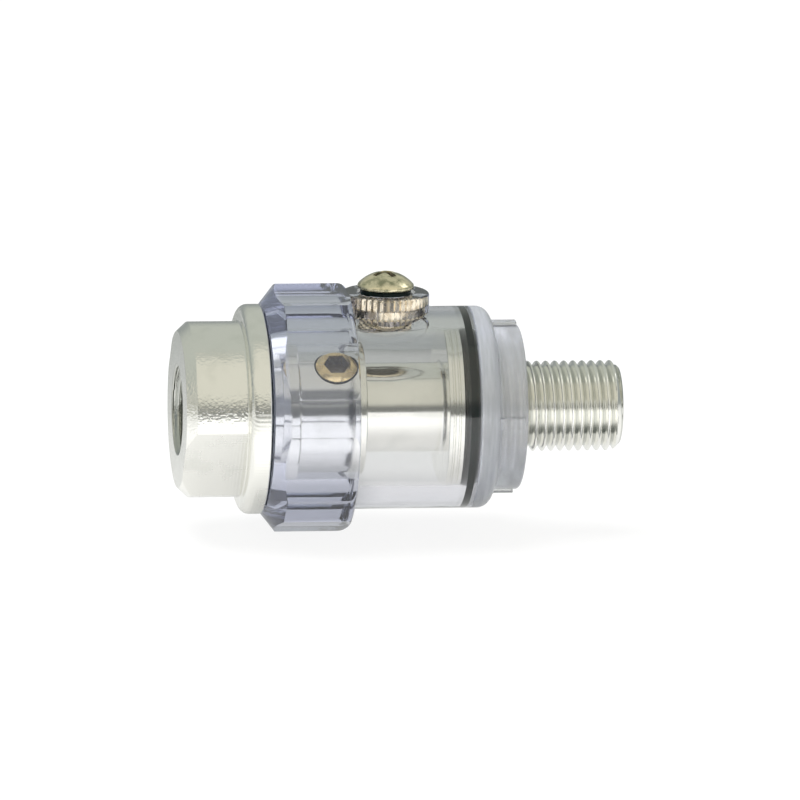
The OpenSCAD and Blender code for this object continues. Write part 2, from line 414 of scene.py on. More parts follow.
@dataclass(frozen=True)
class Recess:
    """Where a driver's recess lies in the head of a screw, in millimetres, which the finish fills with
    painted shade.
    """

    axis: Axis
    face: float
    radius: float
    ball: float = math.inf
    edge: float = 0.1
    depths: Span = (0.02, 0.4)

    def inside(self, graph: Graph, at: Wire) -> Wire:
        """How far a point is inside the recess.

        Args:
            graph: The graph of the finish.
            at: Where the point lies, in metres.

        Returns:
            0 on the head, 1 well inside the recess.
        """
        off = graph.vector("SUBTRACT", at, self.axis.origin * MM)
        reach = graph.vector("DOT_PRODUCT", off, self.axis.along, "Value") / MM
        side = graph.vector("CROSS_PRODUCT", off, self.axis.along)
        away = graph.vector("LENGTH", side, side, "Value") / MM
        depth = self.face - away * away / (2 * self.ball) - reach
        outside = away.step(self.radius - self.edge, self.radius + self.edge)
        return depth.step(*self.depths) * (1 - outside)


@dataclass(frozen=True)
class Finish:
    """A procedural finish."""

    title: str

    def material(self) -> bpy.types.Material:
        """Makes the material once, and hands out the same one after that."""
        made = bpy.data.materials.get(self.title)
        if made is None:
            made = bpy.data.materials.new(self.title)
            made.use_nodes = True
            self.shade(Graph(made.node_tree))
        return made

    def shade(self, graph: Graph) -> None:
        """Fills the graph.

        Args:
            graph: The material's empty graph.
        """
        raise NotImplementedError


@dataclass(frozen=True)
class Plated(Finish):
    """Bright plating, with a cast skin on the wrench end and turning marks elsewhere, painted shade in
    the outlet thread's roots and inside the inlet bore, and a greyer wrench flat that is partly painted
    shade.
    """

    colour: Colour = (0.93, 0.925, 0.885)
    # Colour of random stains, and of the greyer wrench flat, which is partly its milling and partly
    # painted shade
    stain_and_shade: Colour = (0.72, 0.73, 0.68)
    # Colour of the painted shade in the outlet thread's roots and inside the inlet bore
    painted_shade: Colour = (0.30, 0.32, 0.29)
    cast_end: float = 12.2
    peel: float = 0.05
    skin_size: float = 0.38
    swell_size: float = 1.6
    mark_pitch: float = 0.16
    mark_drift: float = 2.0
    blotch_size: float = 4.0
    hatch: float = 0.5
    flat_at: float = 10.95
    thread_x: Span = (43.4, 43.9)
    root_r: Span = (5.74, 5.98)
    port_r: Span = (6.7, 6.8)
    port_x: Span = (11.8, 12.2)

    def shade(self, graph: Graph) -> None:
        """Fills the graph."""
        at = graph.place()
        along, away = at.part("X"), graph.away(at)
        cast = 1 - along.span(self.cast_end - 0.3, self.cast_end)
        way = facing(WRENCH_TURN)
        out = graph.vector("DOT_PRODUCT", at, way, "Value")
        flat = out.size().span(self.flat_at - 0.02, self.flat_at) * cast
        around = at.part("Y") * way.z - at.part("Z") * way.y
        stroke = TURN / (self.hatch * MM)
        lines = (along * stroke).wave() + (around * stroke).wave()
        skin = graph.noise(at, self.skin_size, 1.5) + graph.noise(at, self.swell_size, 1.0) * 0.5
        drift = graph.noise(at, self.mark_drift) * 4
        marks = (along * (TURN / (self.mark_pitch * MM)) + drift).wave()
        blotch = graph.noise(at, self.blotch_size, 4.0).step(0.45, 0.75)
        height = skin * (cast - flat * 0.9) + lines * flat * 0.09 + marks * (1 - cast) * 0.012
        outlet = along.span(*self.thread_x)
        # Painted shade: darker in the roots of the outlet thread and inside the inlet bore
        root = (1 - away.span(*self.root_r)) * outlet
        port = (1 - away.span(*self.port_r)) * (1 - along.span(*self.port_x))
        # Random stains, and a greyer wrench flat that is partly its milling and partly painted shade
        tint = graph.blend(blotch * 0.3 + flat * 0.2, self.colour, self.stain_and_shade)
        shader = graph.principled(
            {
                "Base Color": graph.blend(root * 0.5 + port * 0.55, tint, self.painted_shade),
                "Metallic": 1.0,
                "Roughness": 0.11 + cast * 0.05 + flat * 0.1 + blotch * 0.05 + outlet * 0.05,
                "Normal": graph.bump(height, self.peel),
            }
        )
        graph.end(shader)


@dataclass(frozen=True)
class Clear(Finish):
    """Clear plastic: violet and a little milky at its collar, frosted at its closed end."""

    index: float = 1.585
    cast: Colour = (0.30, 0.36, 0.72)
    density: float = 26.0
    haze: float = 0.006
    frost_x: Span = (42.3, 42.8)
    collar_x: Span = (24.2, 24.8)
    cone_x: Span = (14.1, 14.4)
    skin_r: Span = (14.6, 14.9)
    hub_x: Span = (45.8, 46.2)
    chamber_x: Span = (43.2, 43.4)
    chamber_r: Span = (11.8, 11.9)
    plain: Colour = (0.99, 0.985, 0.96)
    violet: Colour = (0.96, 0.965, 0.98)
    milk: Colour = (0.40, 0.44, 0.64)
    frosting: Colour = (0.56, 0.58, 0.63)
    hub_tint: Colour = (0.90, 0.92, 0.95)
    collar_milk: float = 0.045
    cone_milk: float = 0.12
    frost_milk: float = 0.36
    streak_milk: float = 0.2
    hub_clearing: float = 0.55

    def shade(self, graph: Graph) -> None:
        """Fills the graph."""
        at = graph.place()
        along, away = at.part("X"), graph.away(at)
        chamber = (1 - away.span(*self.chamber_r)) * (1 - along.span(*self.chamber_x))
        frost = along.span(*self.frost_x) * (1 - chamber)
        collar = (1 - along.span(*self.collar_x)) * away.span(*self.skin_r)
        cone = (1 - along.span(*self.cone_x)) * collar
        hub = along.span(*self.hub_x)
        swell = graph.noise(at, 5.0, 1.0) + graph.noise(at, 1.2, 1.0) * 0.08
        streaks = graph.noise(at.scaled((3.0, 0.35, 0.35)), 1.3, 3.0)
        normal = graph.bump(swell + streaks * frost * 0.15, 0.06, 0.5)
        clear = graph.principled(
            {
                "Base Color": graph.blend(collar, self.plain, self.violet),
                "Roughness": 0.015 + collar * 0.04 + frost * 0.18,
                "IOR": self.index,
                "Transmission Weight": 1 - self.haze,
                "Normal": normal,
            }
        )
        matt = graph.blend(hub, self.frosting, self.hub_tint)
        milk = graph.principled(
            {
                "Base Color": graph.blend(frost, self.milk, matt),
                "Roughness": 0.35,
                "Normal": normal,
            }
        )
        frosted = frost * (self.frost_milk + streaks * self.streak_milk) * (1 - hub * self.hub_clearing)
        share = collar * self.collar_milk + cone * self.cone_milk + frosted
        inside = graph.wire(
            "ShaderNodeVolumeAbsorption",
            inputs={"Color": self.cast, "Density": self.density},
        )
        graph.end(graph.mix(share, clear, milk), inside)


@dataclass(frozen=True)
class Rubber(Finish):
    """Green-black rubber with a dull moulded skin."""

    colour: Colour = (0.002, 0.011, 0.011)
    worn: Colour = (0.005, 0.018, 0.017)

    def shade(self, graph: Graph) -> None:
        """Fills the graph."""
        at = graph.place()
        dust = graph.noise(at, 1.5, 3.0)
        shader = graph.principled(
            {
                "Base Color": graph.blend(dust.step(0.4, 0.7), self.colour, self.worn),
                "Roughness": 0.38 + dust * 0.2,
                "Specular IOR Level": 0.2,
                "Normal": graph.bump(graph.noise(at, 0.2), 0.01),
            }
        )
        graph.end(shader)


@dataclass(frozen=True)
class Brass(Finish):
    """Yellow metal with a tarnish of its own shade, and painted shade inside a screw's recess."""

    colour: Colour
    tarnish: Colour
    roughness: float = 0.25
    tarnish_share: float = 0.6
    recess: Optional[Recess] = None
    # Colour of the painted shade inside a recess
    painted_shade: Colour = (0.055, 0.042, 0.030)

    def shade(self, graph: Graph) -> None:
        """Fills the graph."""
        at = graph.place()
        spots = graph.noise(at, 1.1, 5.0).step(0.40, 0.68)
        fine = graph.noise(at, 0.22, 2.0)
        tint = graph.blend(spots * self.tarnish_share, self.colour, self.tarnish)
        metal: Value = 1.0
        if self.recess is not None:
            # Painted shade: darker and less metallic inside the recess
            recess_shade = self.recess.inside(graph, at)
            tint = graph.blend(recess_shade * 0.9, tint, self.painted_shade)
            metal = 1 - recess_shade * 0.7
        shader = graph.principled(
            {
                "Base Color": tint,
                "Metallic": metal,
                "Roughness": self.roughness + spots * 0.12 + fine * 0.06,
                "Normal": graph.bump(fine, 0.008),
            }
        )
        graph.end(shader)


@dataclass(frozen=True)
class FloorPaper(Finish):
    """Pale paper: white to the camera, and glowing with painted light and shade to what mirrors or bends
    it.
    """

    paper: Colour = (0.9, 0.9, 0.9)
    # Painted light and shade seen only in what mirrors or bends the floor: brighter than white in front,
    # shaded just behind, dark far behind
    front: Colour = (1.35, 1.35, 1.33)
    middle: Colour = (0.95, 0.95, 0.94)
    near: Colour = (0.70, 0.71, 0.70)
    far: Colour = (0.20, 0.22, 0.215)
    front_y: Span = (-40.0, -10.0)
    near_y: Span = (-5.0, 30.0)
    far_y: Span = (10.0, 160.0)
    # Colour of the painted shadow on the floor below the collar
    pad: Colour = (0.18, 0.20, 0.20)
    pad_middle: float = 19.0
    pad_x: Span = (6.0, 12.0)
    pad_y: Span = (6.0, 14.0)
    # Colour of the painted shade far to the left on the floor
    left: Colour = (0.50, 0.51, 0.50)
    left_from: float = 36.0
    left_x: Span = (70.0, 140.0)
    # Colour of the painted dark strip in front of the outlet, which the outlet thread mirrors as a dark
    # band
    strip: Colour = (0.03, 0.045, 0.04)
    strip_x: Span = (49.0, 52.0)
    strip_near: Span = (6.5, 8.5)
    strip_far: Span = (13.0, 28.0)
    shown: float = 0.9
    # Share of the painted light and shade in what mirrors or bends the floor
    painted_share: float = 0.85

    def painted_shading(self, graph: Graph) -> Wire:
        """Painted light and shade of each place: brighter than white in front and shaded behind, with a
        painted shadow below the collar, painted shade far to the left and a painted dark strip by the
        outlet.

        Args:
            graph: The graph of the finish.

        Returns:
            The colour.
        """
        at = graph.place()
        side, back = at.part("X"), at.part("Y")
        # Painted light and shade from front to back
        painted_shading = graph.blend(back.span(*self.front_y), self.front, self.middle)
        painted_shading = graph.blend(back.span(*self.near_y), painted_shading, self.near)
        painted_shading = graph.blend(back.span(*self.far_y), painted_shading, self.far)
        # Painted shadow on the floor below the collar
        off = (side - self.pad_middle * MM).size()
        pad = (1 - back.size().span(*self.pad_y)) * (1 - off.span(*self.pad_x))
        painted_shading = graph.blend(pad * 0.4, painted_shading, self.pad)
        # Painted shade: the floor darkens far to the left
        left = (self.left_from * MM - side).span(*self.left_x)
        painted_shading = graph.blend(left * 0.6, painted_shading, self.left)
        # Painted dark strip on the floor in front of the outlet, seen only as a dark band mirrored in the
        # thread
        ahead = -back
        strip = ahead.span(*self.strip_near) * (1 - ahead.span(*self.strip_far))
        return graph.blend(strip * side.span(*self.strip_x), painted_shading, self.strip)

    def shade(self, graph: Graph) -> None:
        """Fills the graph."""
        path = graph.node("ShaderNodeLightPath")
        seen, mirrored, bent = (
            Wire(graph, path.outputs[f"Is {ray} Ray"]) for ray in ("Camera", "Glossy", "Transmission")
        )
        matt = graph.wire("ShaderNodeBsdfDiffuse", inputs={"Color": self.paper})
        plain = graph.mix(seen * self.shown, matt, graph.glow((1, 1, 1)))
        # Mirrored and bent rays see the painted light and shade in place of the lit paper
        share = graph.math("MAXIMUM", mirrored, bent) * self.painted_share
        graph.end(graph.mix(share, plain, graph.glow(self.painted_shading(graph))))


@dataclass(frozen=True)
class GlowingCard(Finish):
    """A glowing card that shows only as a painted reflection in what mirrors it."""

    # Colour of the painted reflection, brighter than white
    colour: Colour = (1.15, 1.15, 1.10)

    def shade(self, graph: Graph) -> None:
        """Fills the graph."""
        graph.end(graph.glow(self.colour))


PLATED = Plated("plating_finish")
CLEAR = Clear("clear_finish")
RUBBER = Rubber("rubber_finish")
INSERT_BRASS = Brass("insert_finish", (0.98, 0.88, 0.70), (0.88, 0.70, 0.44), 0.17)


def even_turns(count: int) -> np.ndarray:
    """Evenly spaced angles of a full turn."""
    return np.arange(count) * (TURN / count)


def rounded(corners: Sequence[Corner], arc_steps: int = 4) -> list[Span]:
    """A profile with its corners rounded.

    Args:
        corners: Reach, radius and rounding of each corner in millimetres.
        arc_steps: Pieces in each rounding.

    Returns:
        Reach and radius of each point.
    """
    line: list[Span] = []
    for i, (reach, radius, round_r) in enumerate(corners):
        here = Vector((reach, radius))
        if round_r <= 0 or i in (0, len(corners) - 1):
            line.append((reach, radius))
            continue
        back = (Vector(corners[i - 1][:2]) - here).normalized()
        on = (Vector(corners[i + 1][:2]) - here).normalized()
        half = back.angle(on) / 2
        middle = here + (back + on).normalized() * (round_r / math.sin(half))
        start = here + back * (round_r / math.tan(half)) - middle
        sweep = math.pi - 2 * half
        sign = 1 if back.x * on.y - back.y * on.x < 0 else -1
        for k in range(arc_steps + 1):
            angle = sign * sweep * k / arc_steps
            c, s = math.cos(angle), math.sin(angle)
            line.append(
                (middle.x + start.x * c - start.y * s, middle.y + start.x * s + start.y * c)
            )
    return line


def finer(line: Sequence[Span], longest: float) -> list[Span]:
    """A profile with its long stretches divided.

    Args:
        line: Reach and radius of each point in millimetres.
        longest: Longest stretch that stays whole.

    Returns:
        The divided profile.
    """
    made = [line[0]]
    for a, b in zip(line, line[1:]):
        parts = max(1, math.ceil(math.dist(a, b) / longest))
        made += [
            (a[0] + (b[0] - a[0]) * n / parts, a[1] + (b[1] - a[1]) * n / parts)
            for n in range(1, parts + 1)
        ]
    return made


@dataclass(frozen=True)
class Thread:
    """A right-hand round thread on an axis."""

    pitch: float
    root: float
    crest: float
    fullness: float = 0.8

    def radius(self, reach: float, turns: np.ndarray, share: float = 1.0) -> np.ndarray:
        """Radius at each angle of a ring.

        Args:
            reach: Distance along the axis in millimetres.
            turns: Angles in radians.
            share: Share of the full depth below the crest.

        Returns:
            Radii in millimetres.
        """
        phase = TURN * reach / self.pitch - turns
        ridge = (0.5 - 0.5 * np.cos(phase)) ** self.fullness
        return self.crest - (self.crest - self.root) * share * (1 - ridge)


class Loft:
    """A closed surface through rings about one axis."""

    def __init__(self, axis: Axis, turns: np.ndarray) -> None:
        """Starts without rings.

        Args:
            axis: The axis.
            turns: Angles of the points of every ring.
        """
        self.axis = axis
        self.turns = turns
        self.rings: list[np.ndarray] = []

    def ring(self, reach: Any, radius: Any) -> None:
        """Adds a ring at a distance along the axis, with one radius or one per angle."""
        self.rings.append(self.axis.points(reach, radius, self.turns))

    def profile(self, points: Sequence[Span]) -> None:
        """Adds a round ring for each point of a profile."""
        for reach, radius in points:
            self.ring(reach, radius)

    def build(self, name: str, hollow: bool) -> bpy.types.Object:
        """Makes the object.

        Args:
            name: Name of the object.
            hollow: True if the last ring joins the first, False if both ends are closed.

        Returns:
            The object.
        """
        count, many = len(self.turns), len(self.rings)
        points = [tuple(p) for ring in self.rings for p in ring]
        pairs = many if hollow else many - 1
        faces: list[tuple[int, ...]] = []
        for i in range(pairs):
            a, b = i * count, ((i + 1) % many) * count
            for k in range(count):
                n = (k + 1) % count
                faces.append((a + k, a + n, b + n, b + k))
        if not hollow:
            for i in (0, many - 1):
                pole = len(points)
                points.append(tuple(np.mean(self.rings[i], axis=0)))
                base = i * count
                faces += [(base + k, base + (k + 1) % count, pole) for k in range(count)]
        return as_object(name, points, faces)


def as_object(
    name: str, points: Sequence[Sequence[float]], faces: Sequence[Sequence[int]]
) -> bpy.types.Object:
    """Makes an object with outward faces.

    Args:
        name: Name of the object.
        points: Points in metres.
        faces: Point numbers of each face.

    Returns:
        The linked object.
    """
    mesh = bpy.data.meshes.new(name)
    mesh.from_pydata(points, [], faces)
    work = bmesh.new()
    work.from_mesh(mesh)
    bmesh.ops.remove_doubles(work, verts=work.verts, dist=1e-7)
    bmesh.ops.recalc_face_normals(work, faces=work.faces)
    work.to_mesh(mesh)
    work.free()
    made = bpy.data.objects.new(name, mesh)
    bpy.context.scene.collection.objects.link(made)
    return made


def settle(target: bpy.types.Object) -> None:
    """Turns an object's modifiers into its mesh."""
    graph = bpy.context.evaluated_depsgraph_get()
    mesh = bpy.data.meshes.new_from_object(target.evaluated_get(graph))
    target.modifiers.clear()
    old = target.data
    target.data = mesh
    bpy.data.meshes.remove(old)


class Joining(Enum):
    """How one solid meets another."""

    ADD = "UNION"
    CUT = "DIFFERENCE"


def combine(target: bpy.types.Object, tool: bpy.types.Object, how: Joining) -> None:
    """Adds a solid to another or cuts it out, and removes the tool.

    Args:
        target: The solid that stays.
        tool: The solid that is added or cut out.
        how: Whether the tool is added or cut out.
    """
    work = target.modifiers.new("combine", "BOOLEAN")
    work.operation = how.value
    work.solver = "EXACT"
    work.object = tool
    settle(target)
    bpy.data.objects.remove(tool)


def soften(target: bpy.types.Object, width: float, angle: float = 40.0) -> None:
    """Breaks the sharp edges of a piece.

    Args:
        target: The piece.
        width: Width of the broken edge in millimetres.
        angle: Smallest angle of an edge that is broken, in degrees.
    """
    bevel = target.modifiers.new("soften", "BEVEL")
    bevel.width = width * MM
    bevel.segments = 2
    bevel.limit_method = "ANGLE"
    bevel.angle_limit = math.radians(angle)
    settle(target)


def polish(
    target: bpy.types.Object,
    angle: float = 35.0,
    round_span: Callable[[Vector], bool] = lambda at: False,
) -> None:
    """Shades a piece smooth, with flat faces kept flat.

    Args:
        target: The piece.
        angle: Smallest angle of an edge that stays sharp, in degrees.
        round_span: Tells for a point in millimetres if its edges are never sharp.
    """
    mesh = target.data
    mesh.polygons.foreach_set("use_smooth", [True] * len(mesh.polygons))
    mesh.set_sharp_from_angle(angle=math.radians(angle))
    for edge in mesh.edges:
        if edge.use_edge_sharp and round_span(mesh.vertices[edge.vertices[0]].co / MM):
            edge.use_edge_sharp = False
    even = target.modifiers.new("even", "WEIGHTED_NORMAL")
    even.keep_sharp = True


def dress(
    target: bpy.types.Object, finish: Finish, body: Optional[Body] = None
) -> bpy.types.Object:
    """Gives a piece its finish and its body.

    Args:
        target: The piece.
        finish: The finish.
        body: The body that it rides, or None for a CAD node.

    Returns:
        The piece.
    """
    target.data.materials.clear()
    target.data.materials.append(finish.material())
    if body is not None:
        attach(target, body.value)
    return target


def prism(
    axis: Axis, low: float, high: float, outline: Callable[[float], Sequence[Span]]
) -> bpy.types.Object:
    """A solid between two outlines across an axis.

    Args:
        axis: The axis.
        low: Reach of the lower outline in millimetres.
        high: Reach of the upper outline in millimetres.
        outline: Gives the outline at a reach, as distances from the axis both ways.

    Returns:
        The object.
    """
    side = np.array(axis.across)
    other = np.array(axis.along.cross(axis.across))
    points: list[tuple[float, ...]] = []
    for reach in (low, high):
        for u, v in outline(reach):
            at = np.array(axis.origin) + reach * np.array(axis.along) + u * side + v * other
            points.append(tuple(MM * at))
    n = len(points) // 2
    faces: list[Sequence[int]] = [tuple(range(n)), tuple(range(n, 2 * n))]
    faces += [(k, (k + 1) % n, n + (k + 1) % n, n + k) for k in range(n)]
    return as_object("tool", points, faces)


def turned_box(low: float, high: float, wide: float, angle: float) -> list[Span]:
    """Outline of a block that faces one way from an axis.

    Args:
        low: Distance of the near side in millimetres.
        high: Distance of the far side in millimetres.
        wide: Width in millimetres.
        angle: Way that the block faces, in degrees.

    Returns:
        Corners of the block.
    """
    c, s = math.cos(math.radians(angle)), math.sin(math.radians(angle))
    corners = [(low, -wide / 2), (high, -wide / 2), (high, wide / 2), (low, wide / 2)]
    return [(u * c - v * s, u * s + v * c) for u, v in corners]


def mill_flat(target: bpy.types.Object, low: float, high: float, radius: float, angle: float) -> None:
    """Mills a flat along the air axis.

    Args:
        target: The piece.
        low: Reach where the cut starts in millimetres.
        high: Reach where the cut ends.
        radius: Distance of the flat from the axis.
        angle: Way that the flat faces, in degrees.
    """
    block = turned_box(radius, CUTTER_FAR, CUTTER_WIDE, angle)
    combine(target, prism(AIR, low, high, lambda reach: block), Joining.CUT)


@dataclass
class MeteringScrew:
    """The brass needle screw with its hexagon socket, and the pocket that it needs in the core."""

    tip_x: float = 5.2
    tip_r: float = 0.35
    needle_x: float = 5.9
    needle_r: float = 1.1
    thread_x: float = 6.4
    thread_r: float = 2.0
    piston_x: float = 7.7
    piston_r: float = 2.85
    groove_x: Span = (8.1, 9.0)
    groove_r: float = 2.35
    head_x: float = 9.4
    head_r: float = 3.0
    bevel: float = 0.6
    face: float = 10.2
    ledge: float = 0.06
    boss_r: float = 2.2
    start_r: float = 0.6
    socket_af: float = 3.2
    socket_deep: float = 1.7
    socket_flare: float = 1.06
    travel: float = 0.35
    gap: float = 0.05
    head_gap: float = 0.25
    feed_r: float = 0.42
    feed_x: Span = (1.9, 4.8)
    seat_len: float = 0.7
    mouth_x: float = 11.0
    sharp: float = 32.0
    samples: int = 72

    def pocket(self) -> list[Span]:
        """Profile of the drilling, the seat and the stepped hole, with room for the travel."""
        room = self.travel + 2 * self.gap
        needle, thread = self.needle_r + self.gap, self.thread_r + self.gap
        head = self.head_r + self.head_gap
        return [
            (self.feed_x[0], self.feed_r),
            (self.feed_x[1], self.feed_r),
            (self.feed_x[1] + self.seat_len, needle),
            (self.thread_x - room, needle),
            (self.thread_x - room, thread),
            (self.piston_x - room, thread),
            (self.piston_x - room, head),
            (self.mouth_x, head),
        ]

    def section(self) -> list[Corner]:
        """Corners of the screw, from the needle's tip to its face."""
        low, high = self.groove_x
        ledge = self.face - self.ledge
        return [
            (self.tip_x, self.tip_r, 0),
            (self.needle_x, self.needle_r, 0),
            (self.thread_x, self.needle_r, 0.05),
            (self.thread_x, self.thread_r, 0.1),
            (self.piston_x, self.thread_r, 0.1),
            (self.piston_x, self.piston_r, 0.15),
            (low, self.piston_r, 0.08),
            (low, self.groove_r, 0.1),
            (high, self.groove_r, 0.1),
            (high, self.piston_r, 0.08),
            (self.head_x, self.piston_r, 0),
            (self.head_x, self.head_r, 0.08),
            (self.face - self.bevel, self.head_r, 0.05),
            (ledge, self.head_r - self.bevel, 0.1),
            (ledge, self.boss_r, 0.02),
            (self.face, self.boss_r - 0.1, 0.03),
            (self.face, self.start_r, 0),
        ]

    def socket(self, reach: float) -> list[Span]:
        """Outline of the socket, a little wider at its mouth."""
        radius = self.socket_af / math.sqrt(3) * (1.0 if reach < self.face else self.socket_flare)
        return [(radius * math.cos(turn), radius * math.sin(turn)) for turn in even_turns(6)]

    def finish(self) -> Brass:
        """Golden brass, with painted shade in the socket."""
        recess = Recess(METERING, self.face, self.socket_af / math.sqrt(3) + self.gap)
        return Brass("golden_finish", (1.0, 0.79, 0.42), (0.74, 0.55, 0.27), 0.17, 0.5, recess)

    def build(self) -> bpy.types.Object:
        """Makes the screw with its needle, groove, head and socket."""
        loft = Loft(METERING, even_turns(self.samples))
        loft.profile(rounded(self.section()))
        made = loft.build("metering_screw_visual", hollow=False)
        tool = prism(METERING, self.face - self.socket_deep, self.face + 0.3, self.socket)
        combine(made, tool, Joining.CUT)
        polish(made, self.sharp)
        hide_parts("metering_screw")
        return dress(made, self.finish(), Body.METERING_SCREW)


@dataclass
class CoreBody:
    """The plated core: wrench end, flange, barrel, stem, disc, seal seat and outlet thread."""

    end_r: float = 12.78
    face_r: float = 11.4
    face_mid: float = 9.0
    chamfer: float = 1.5
    wrench_af: float = 22.0
    wrench_gap: float = 0.15
    flange_x: float = 8.9
    flange_r: float = 15.25
    flange_edge: float = 1.4
    seal_x: float = 12.0
    guide_r: float = 11.4
    guide_x: float = 16.4
    barrel_r: float = 9.7
    barrel_x: float = 26.5
    stem_r: float = 6.5
    disc_x: float = 38.2
    disc_grooves: int = 2
    groove_deep: float = 0.25
    groove_half: Span = (0.1, 0.2)
    groove_edge: float = 0.08
    seat_x: float = 40.5
    seat_r: float = 9.3
    thread_x: float = 43.2
    run_out: float = 1.2
    length: float = 64.7
    end_chamfer: float = 1.0
    air_r: float = 4.6
    air_mouth: float = 0.4
    throat_r: float = 2.2
    throat_x: Span = (19.0, 25.0)
    supply_r: float = 3.0
    supply_x: float = 12.7
    inlet_deep: float = 9.7
    sink_r: float = 6.65
    sink_lean: float = 0.9
    flank_x: float = 0.9
    sharp: float = 24.0
    pocket_samples: int = 64
    samples: int = 168
    turn_steps: int = 14
    outlet: Thread = Thread(1.337, 5.72, 6.58)

    def disc(self) -> list[Corner]:
        """Corners of the ridged disc."""
        width = self.seat_x - self.disc_x
        floor = self.guide_r - self.groove_deep
        inner, outer = self.groove_half
        line: list[Corner] = [(self.disc_x, self.guide_r, 0.15)]
        for k in range(1, self.disc_grooves + 1):
            middle = self.disc_x + width * k / (self.disc_grooves + 1)
            line += [
                (middle - outer, self.guide_r, self.groove_edge),
                (middle - inner, floor, self.groove_edge),
                (middle + inner, floor, self.groove_edge),
                (middle + outer, self.guide_r, self.groove_edge),
            ]
        return line + [(self.seat_x, self.guide_r, 0.15)]

    def outside(self, loft: Loft) -> None:
        """Adds the rings of the outside, from the inlet face to the outlet."""
        line: list[Corner] = [
            (0.0, self.face_mid, 0),
            (0.0, self.face_r, 0.15),
            (self.chamfer, self.end_r, 0.3),
            (self.flange_x, self.end_r, 0.4),
            (self.flange_x, self.flange_r, self.flange_edge),
            (self.seal_x, self.flange_r, 0.25),
            (self.seal_x, self.guide_r, 0.2),
            (self.guide_x, self.guide_r, 0.4),
            (self.guide_x, self.barrel_r, 0.4),
            (self.barrel_x, self.barrel_r, 0.3),
            (self.barrel_x, self.stem_r, 0.5),
            (self.disc_x, self.stem_r, 0.5),
            *self.disc(),
            (self.seat_x, self.seat_r, 0.2),
            (self.thread_x - 0.1, self.seat_r, 0.2),
            (self.thread_x - 0.1, self.outlet.crest + 0.2, 0),
        ]
        loft.profile(rounded(line, 6))
        step = self.outlet.pitch / self.turn_steps
        for reach in np.arange(self.thread_x, self.length + 1e-6, step):
            share = min(1.0, (reach - self.thread_x) / (self.run_out * self.outlet.pitch))
            radius = self.outlet.radius(reach, loft.turns, share)
            over = max(0.0, reach - self.length + self.end_chamfer)
            loft.ring(reach, np.minimum(radius, self.outlet.crest - over))
        loft.ring(self.length, self.outlet.crest - self.end_chamfer - 0.2)

    def inside(self, loft: Loft) -> None:
        """Adds the rings of the air way, from the outlet back to the inlet face."""
        low, high = self.throat_x
        loft.profile(
            [
                (self.length, self.air_r + self.air_mouth),
                (self.length - self.air_mouth, self.air_r),
                (high + self.air_r - self.throat_r, self.air_r),
                (high, self.throat_r),
                (low, self.throat_r),
                (low - self.supply_r + self.throat_r, self.supply_r),
                (self.supply_x, self.supply_r),
                (self.inlet_deep + 0.3, self.outlet.root),
            ]
        )
        thread = self.outlet
        step = thread.pitch / self.turn_steps
        for reach in np.arange(self.inlet_deep, 0.0, -step):
            share = min(1.0, (self.inlet_deep - reach) / thread.pitch)
            radius = thread.root + (thread.radius(reach, loft.turns) - thread.root) * share
            loft.ring(reach, np.maximum(radius, self.sink_r - reach * self.sink_lean))
        loft.ring(0.0, self.sink_r + 0.1)

    def build(self) -> bpy.types.Object:
        """Makes the core, mills the wrench flats and cuts the metering screw's pocket."""
        loft = Loft(AIR, even_turns(self.samples))
        self.outside(loft)
        self.inside(loft)
        core = loft.build("core_body_visual", hollow=True)
        for turn in (WRENCH_TURN, WRENCH_TURN + 180):
            mill_flat(core, -1.0, self.flange_x - self.wrench_gap, self.wrench_af / 2, turn)
        pocket = Loft(METERING, even_turns(self.pocket_samples))
        pocket.profile(MeteringScrew().pocket())
        combine(core, pocket.build("pocket", hollow=False), Joining.CUT)
        polish(core, self.sharp, self.is_thread)
        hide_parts("core_body")
        return dress(core, PLATED, Body.CORE)

    def is_thread(self, at: Vector) -> bool:
        """True on the flanks of both threads."""
        radius = math.hypot(at.y, at.z)
        out = self.thread_x + 0.3 < at.x < self.length - self.end_chamfer - 0.2
        into = self.flank_x < at.x < self.inlet_deep - 0.2
        return radius < self.outlet.crest + 0.1 and (out or into)


